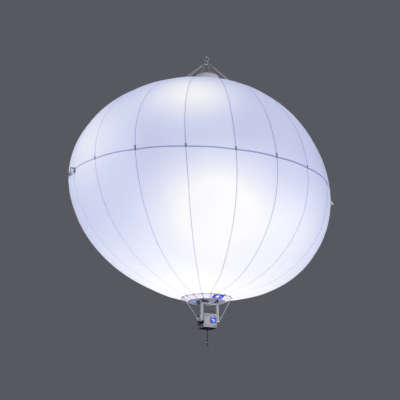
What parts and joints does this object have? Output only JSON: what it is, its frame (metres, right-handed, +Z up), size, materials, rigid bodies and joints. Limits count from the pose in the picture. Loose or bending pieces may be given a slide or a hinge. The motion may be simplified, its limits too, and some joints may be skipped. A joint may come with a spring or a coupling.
{
  "type": "balloon light",
  "caption": "Large inflated lighting balloon with gored envelope, rope bridle, bottom collar with blower, and a control box tilting in a yoke.",
  "frame": {"origin": "where a hook bears inside the hang ring at the top of the bridle", "axes": "+Z up, -Y towards the front with the display, +X to the right seen from the front"},
  "size_m": [6.1413, 6.1104, 7.0163],
  "materials": {
    "envelope": "matt translucent coated cloth lit from inside",
    "skirt_fabric": "matt coated cloth",
    "crown_fabric": "matt grey cloth",
    "tape": "woven belt tape",
    "webbing": "woven webbing",
    "rope": "braided rope",
    "steel": "galvanised",
    "dark_steel": "satin black",
    "alloy": "satin anodised",
    "grey_paint": "light grey powder coat",
    "grey_plastic": "moulded grey",
    "black_plastic": "moulded black",
    "blue_light": "lit blue",
    "rubber": "matt cable jacket"
  },
  "bodies": {
    "root": {"hang_ring": "steel", "bridle_hub": "steel", "bridle_line_1": "rope", "bridle_line_2": "rope", "bridle_line_3": "rope", "bridle_line_4": "rope", "bridle_line_5": "rope", "bridle_line_6": "rope", "bridle_patch_1": "webbing", "bridle_patch_2": "webbing", "bridle_patch_3": "webbing", "bridle_patch_4": "webbing", "bridle_patch_5": "webbing", "bridle_patch_6": "webbing", "crown_cap": "crown_fabric", "crown_ring": "alloy", "envelope_upper": "envelope", "envelope_lower": "envelope", "equator_band": "tape", "centre_mast": "alloy", "lamp_block": "grey_paint", "collar_ring": "alloy", "collar_skirt": "skirt_fabric", "lower_ring": "alloy", "base_plate": "alloy", "collar_panel": "blue_light", "light_strip": "blue_light", "blower_duct": "black_plastic", "blower_guard": "dark_steel", "yoke_bar": "alloy", "yoke_leg_left": "alloy", "yoke_corner_left": "dark_steel", "yoke_clamp_left": "black_plastic", "pivot_plate_left": "grey_paint", "stay_left": "steel", "yoke_leg_right": "alloy", "yoke_corner_right": "dark_steel", "yoke_clamp_right": "black_plastic", "pivot_plate_right": "grey_paint", "stay_right": "steel", "side_anchor_1": "webbing", "side_anchor_2": "webbing", "side_anchor_3": "webbing", "shoulder_patch_1": "webbing", "shoulder_patch_2": "webbing", "shoulder_patch_3": "webbing"},
    "control_unit": {"control_box": "grey_paint", "control_display": "blue_light", "box_handle": "black_plastic", "connector_panel": "black_plastic", "supply_tail": "rubber", "supply_plug": "black_plastic"},
    "rotor": {"blower_rotor": "grey_plastic"},
    "block_1": {"pulley_block_1": "alloy"},
    "sheave_1": {"pulley_sheave_1": "black_plastic"},
    "block_2": {"pulley_block_2": "alloy"},
    "sheave_2": {"pulley_sheave_2": "black_plastic"},
    "block_3": {"pulley_block_3": "alloy"},
    "sheave_3": {"pulley_sheave_3": "black_plastic"}
  },
  "joints": [
    {"name": "box_tilt", "type": "hinge", "parent": "root", "child": "control_unit", "pos_m": [0, 0, -6.383], "axis": [1, 0, 0], "range_deg": [-25, 25]},
    {"name": "blower_spin", "type": "hinge", "parent": "root", "child": "rotor", "pos_m": [0, 0.215, -6.0005], "axis": [0, 0, 1], "continuous": true},
    {"name": "block_1_swing", "type": "hinge", "parent": "root", "child": "block_1", "pos_m": [-3.26728, 0.06088, -3.35151], "axis": [0, 1, 0], "range_deg": [-12, 70]},
    {"name": "sheave_1_spin", "type": "hinge", "parent": "block_1", "child": "sheave_1", "pos_m": [-3.26728, 0.06088, -3.43721], "axis": [0, 1, 0], "continuous": true},
    {"name": "block_2_swing", "type": "hinge", "parent": "root", "child": "block_2", "pos_m": [2.74577, -0.99938, -3.5545], "axis": [-0.342, -0.9397, 0], "range_deg": [-12, 70]},
    {"name": "sheave_2_spin", "type": "hinge", "parent": "block_2", "child": "sheave_2", "pos_m": [2.74577, -0.99938, -3.6402], "axis": [-0.342, -0.9397, 0], "continuous": true},
    {"name": "block_3_swing", "type": "hinge", "parent": "root", "child": "block_3", "pos_m": [0.37103, 3.11379, -3.43168], "axis": [0.9848, -0.1736, 0], "range_deg": [-12, 70]},
    {"name": "sheave_3_spin", "type": "hinge", "parent": "block_3", "child": "sheave_3", "pos_m": [0.37103, 3.11379, -3.51738], "axis": [0.9848, -0.1736, 0], "continuous": true}
  ]
}
